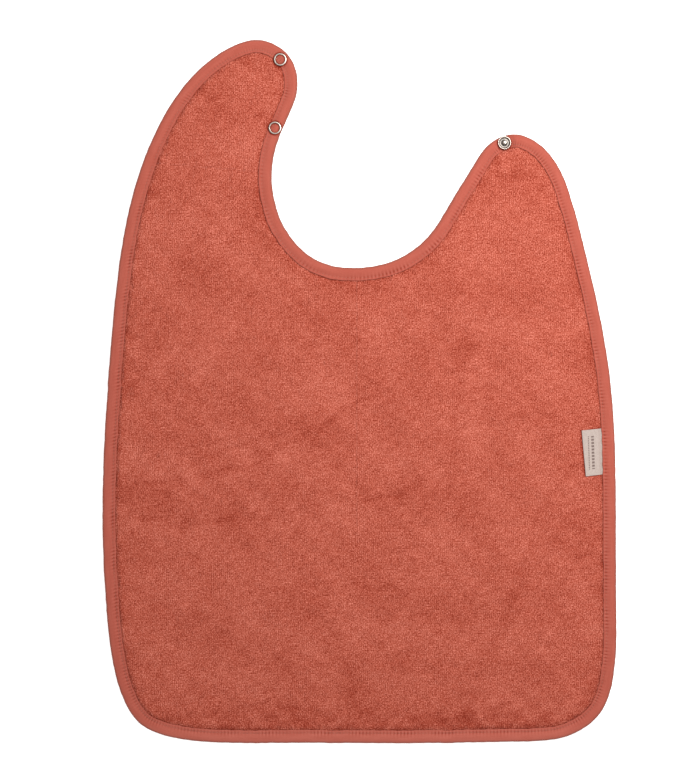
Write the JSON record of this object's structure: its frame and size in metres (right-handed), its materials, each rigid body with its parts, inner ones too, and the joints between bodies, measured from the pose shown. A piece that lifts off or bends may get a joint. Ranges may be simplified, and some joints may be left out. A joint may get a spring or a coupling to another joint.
{
  "type": "terry feeding bib",
  "caption": "Terry cloth feeding bib with tape-bound edges and a one-sided neck strap that wraps round the neck and snaps to the shoulder.",
  "frame": {"origin": "on the surface the bib lies on, under the middle of its outline", "axes": "+X across the bib to the side of the stud, +Y along the bib from the hem towards the neck and strap, +Z out of the face; the back lies on Z = 0"},
  "size_m": [0.3658, 0.5003, 0.0069],
  "materials": {
    "terry": "looped cotton towelling with fine ribs, terracotta, matte",
    "binding_tape": "smooth plain-woven cotton tape, terracotta, matte",
    "sewing_thread": "twisted polyester thread, terracotta, slight sheen",
    "woven_label": "woven satin ribbon, pale beige, slight sheen",
    "snap_metal": "bright nickel plate over brass, polished"
  },
  "bodies": {
    "panel": {"panel_terry": "terry", "panel_outer_binding": "binding_tape", "panel_neck_binding": "binding_tape", "panel_outer_binding_stitch_face": "sewing_thread", "panel_outer_binding_stitch_back": "sewing_thread", "panel_neck_binding_stitch_face": "sewing_thread", "panel_neck_binding_stitch_back": "sewing_thread"},
    "strap": {"strap_terry": "terry", "strap_outer_binding": "binding_tape", "strap_neck_binding": "binding_tape", "strap_outer_binding_stitch_face": "sewing_thread", "strap_outer_binding_stitch_back": "sewing_thread", "strap_neck_binding_stitch_face": "sewing_thread", "strap_neck_binding_stitch_back": "sewing_thread"},
    "strap_tip": {"strap_tip_terry": "terry", "strap_tip_binding": "binding_tape", "strap_tip_binding_stitch_face": "sewing_thread", "strap_tip_binding_stitch_back": "sewing_thread", "tip_prong_ring": "snap_metal", "tip_socket": "snap_metal", "tip_socket_spring": "snap_metal", "inner_prong_ring": "snap_metal", "inner_socket": "snap_metal", "inner_socket_spring": "snap_metal"},
    "shoulder": {"shoulder_terry": "terry", "shoulder_binding": "binding_tape", "shoulder_binding_stitch_face": "sewing_thread", "shoulder_binding_stitch_back": "sewing_thread", "snap_stud": "snap_metal", "stud_prong_ring": "snap_metal"},
    "label": {"side_label": "woven_label"}
  },
  "joints": [
    {"name": "strap_root_bend", "type": "hinge", "parent": "panel", "child": "strap", "pos_m": [-0.11285, 0.13255, 0.0046], "axis": [0.9877, 0.1564, 0], "range_deg": [0, 90]},
    {"name": "strap_mid_bend", "type": "hinge", "parent": "strap", "child": "strap_tip", "pos_m": [-0.09899, 0.1838, 0.0046], "axis": [0.9455, -0.3256, 0], "range_deg": [0, 90]},
    {"name": "shoulder_bend", "type": "hinge", "parent": "panel", "child": "shoulder", "pos_m": [0.11115, 0.13438, 0.0046], "axis": [0.9903, -0.1392, 0], "range_deg": [0, 90]},
    {"name": "label_flip", "type": "hinge", "parent": "panel", "child": "label", "pos_m": [0.17237, -0.04254, 0.0055], "axis": [-0.0345, 0.9994, 0], "range_deg": [0, 160]}
  ]
}
